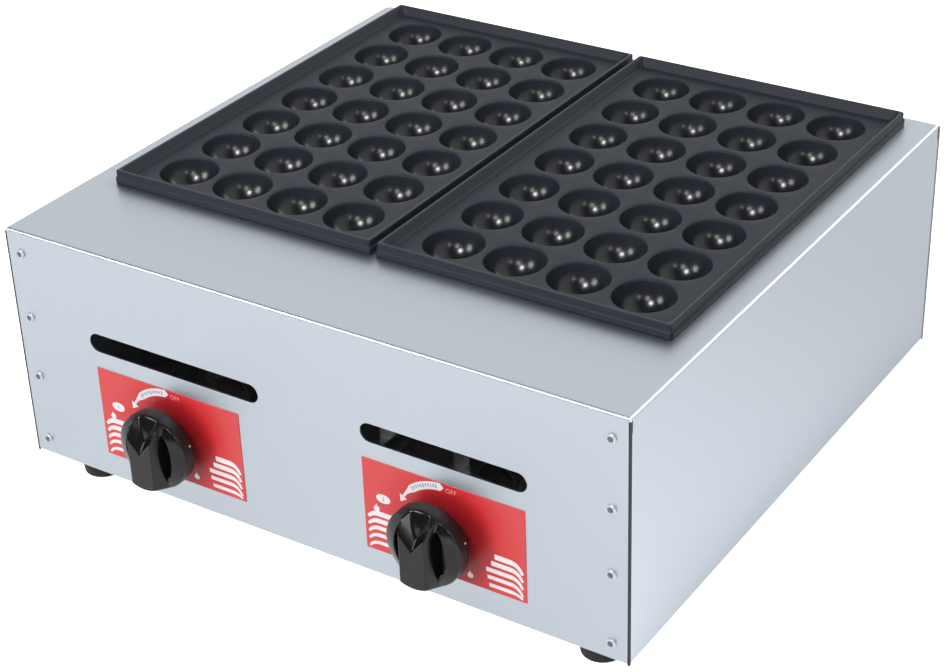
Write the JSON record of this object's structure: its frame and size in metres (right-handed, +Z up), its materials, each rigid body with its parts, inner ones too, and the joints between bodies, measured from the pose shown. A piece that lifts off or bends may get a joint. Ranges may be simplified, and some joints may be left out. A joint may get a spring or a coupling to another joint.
{
  "type": "takoyaki maker",
  "caption": "Countertop gas takoyaki maker: a stainless box on rubber feet with lift-off cast plates of half-round cavities, push-and-turn gas knobs, tube burners and a rear hose inlet.",
  "frame": {"origin": "bottom centre of the whole object’s box, on the worktop", "axes": "+Z up, -Y towards the knobs (front), +Y towards the gas inlet (rear), +X to the right seen from the front"},
  "size_m": [0.43, 0.466, 0.186],
  "materials": {
    "stainless_sheet": "fine satin grain along the sheet",
    "nonstick_casting": "dark non-stick coating, worn pale on the rim",
    "label_print": "printed film, semi-matt",
    "knob_plastic": "glossy moulded phenolic",
    "seam_strip": "matt black strip",
    "foot_rubber": "matt moulded rubber",
    "screw_steel": "bright nickel plate",
    "zinc_steel": "zinc-plated sheet and nuts",
    "burner_steel": "heat-tinted steel tube",
    "valve_alloy": "die-cast, blasted",
    "brass": "turned brass",
    "supply_tube": "drawn tube",
    "spring_steel": "drawn wire",
    "igniter_plastic": "moulded housing",
    "lead_silicone": "silicone sleeve",
    "electrode_ceramic": "unglazed alumina"
  },
  "bodies": {
    "root": {"deck_and_front_panel": "stainless_sheet", "left_side_panel": "stainless_sheet", "right_side_panel": "stainless_sheet", "rear_panel": "stainless_sheet", "base_plate": "zinc_steel", "corner_seam_strips": "seam_strip", "front_panel_screws": "screw_steel", "rear_panel_screws": "screw_steel", "base_plate_screws": "screw_steel", "foot_screws": "screw_steel", "foot_nuts": "zinc_steel", "gas_manifold": "zinc_steel", "supply_pipe": "supply_tube", "gas_inlet": "brass", "inlet_locknut": "brass", "pipe_saddles": "zinc_steel", "front_left_foot": "foot_rubber", "rear_left_foot": "foot_rubber", "front_right_foot": "foot_rubber", "rear_right_foot": "foot_rubber", "left_control_label": "label_print", "left_valve_bonnet": "valve_alloy", "left_valve_body": "valve_alloy", "left_valve_clamp": "valve_alloy", "left_injector": "brass", "left_burner_tubes": "burner_steel", "left_burner_header": "burner_steel", "left_mixing_tube": "burner_steel", "left_burner_brackets": "zinc_steel", "left_piezo_igniter": "igniter_plastic", "left_ignition_lead": "lead_silicone", "left_electrode_ceramic": "electrode_ceramic", "left_electrode_pin": "spring_steel", "left_electrode_strip": "zinc_steel", "right_control_label": "label_print", "right_valve_bonnet": "valve_alloy", "right_valve_body": "valve_alloy", "right_valve_clamp": "valve_alloy", "right_injector": "brass", "right_burner_tubes": "burner_steel", "right_burner_header": "burner_steel", "right_mixing_tube": "burner_steel", "right_burner_brackets": "zinc_steel", "right_piezo_igniter": "igniter_plastic", "right_ignition_lead": "lead_silicone", "right_electrode_ceramic": "electrode_ceramic", "right_electrode_pin": "spring_steel", "right_electrode_strip": "zinc_steel"},
    "left_valve_plug": {"left_valve_plug": "brass", "left_stem_spring": "spring_steel"},
    "left_knob": {"left_knob": "knob_plastic", "left_valve_stem": "zinc_steel"},
    "left_plate": {"left_takoyaki_plate": "nonstick_casting"},
    "right_valve_plug": {"right_valve_plug": "brass", "right_stem_spring": "spring_steel"},
    "right_knob": {"right_knob": "knob_plastic", "right_valve_stem": "zinc_steel"},
    "right_plate": {"right_takoyaki_plate": "nonstick_casting"}
  },
  "joints": [
    {"name": "left_valve_turn", "type": "hinge", "parent": "root", "child": "left_valve_plug", "pos_m": [-0.0995, -0.172, 0.064], "axis": [0, -1, 0], "range_deg": [0, 215]},
    {"name": "left_knob_push", "type": "slide", "parent": "left_valve_plug", "child": "left_knob", "axis": [0, 1, 0], "range_m": [0, 0.003], "stiffness_N_per_m": 600, "springref_m": -0.004, "deforming": ["left_stem_spring"]},
    {"name": "left_plate_lift", "type": "slide", "parent": "root", "child": "left_plate", "axis": [0, 0, 1], "range_m": [0, 0.08]},
    {"name": "right_valve_turn", "type": "hinge", "parent": "root", "child": "right_valve_plug", "pos_m": [0.0945, -0.172, 0.064], "axis": [0, -1, 0], "range_deg": [0, 215]},
    {"name": "right_knob_push", "type": "slide", "parent": "right_valve_plug", "child": "right_knob", "axis": [0, 1, 0], "range_m": [0, 0.003], "stiffness_N_per_m": 600, "springref_m": -0.004, "deforming": ["right_stem_spring"]},
    {"name": "right_plate_lift", "type": "slide", "parent": "root", "child": "right_plate", "axis": [0, 0, 1], "range_m": [0, 0.08]}
  ]
}
